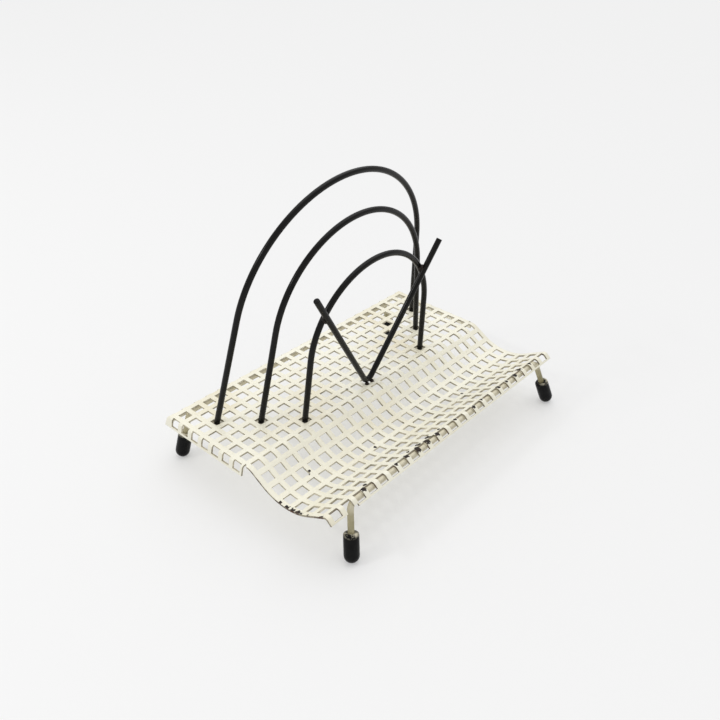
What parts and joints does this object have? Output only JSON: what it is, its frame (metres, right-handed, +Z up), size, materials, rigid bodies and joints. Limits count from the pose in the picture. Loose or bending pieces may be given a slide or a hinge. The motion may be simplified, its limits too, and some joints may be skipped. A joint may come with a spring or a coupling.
{
  "type": "letter rack",
  "caption": "Desk letter rack: perforated folded sheet deck with a front pen groove, graded wire arches, a V-shaped wire divider and wire legs on rubber caps.",
  "frame": {"origin": "centre of the whole part's box in plan, on the plane of the four caps' flats", "axes": "+X along the deck to the right, +Y towards the back flange and the tallest arch, +Z up"},
  "size_m": [0.1916, 0.126, 0.1465],
  "materials": {
    "cream_enamel": "cream gloss enamel on steel sheet, chipped at a few hole edges",
    "black_enamel": "black satin enamel on steel wire",
    "olive_enamel": "olive-beige enamel on steel wire",
    "rubber": "black rubber, dusty at the rim"
  },
  "bodies": {
    "root": {"deck": "cream_enamel", "arch_back": "black_enamel", "arch_middle": "black_enamel", "arch_front": "black_enamel", "foot_welds": "cream_enamel", "divider_v": "black_enamel", "divider_welds": "black_enamel", "front_leg_wire": "olive_enamel", "back_leg_wire": "olive_enamel", "cap_front_left": "rubber", "cap_front_right": "rubber", "cap_back_left": "rubber", "cap_back_right": "rubber", "leg_frame_welds": "olive_enamel"}
  },
  "joints": []
}
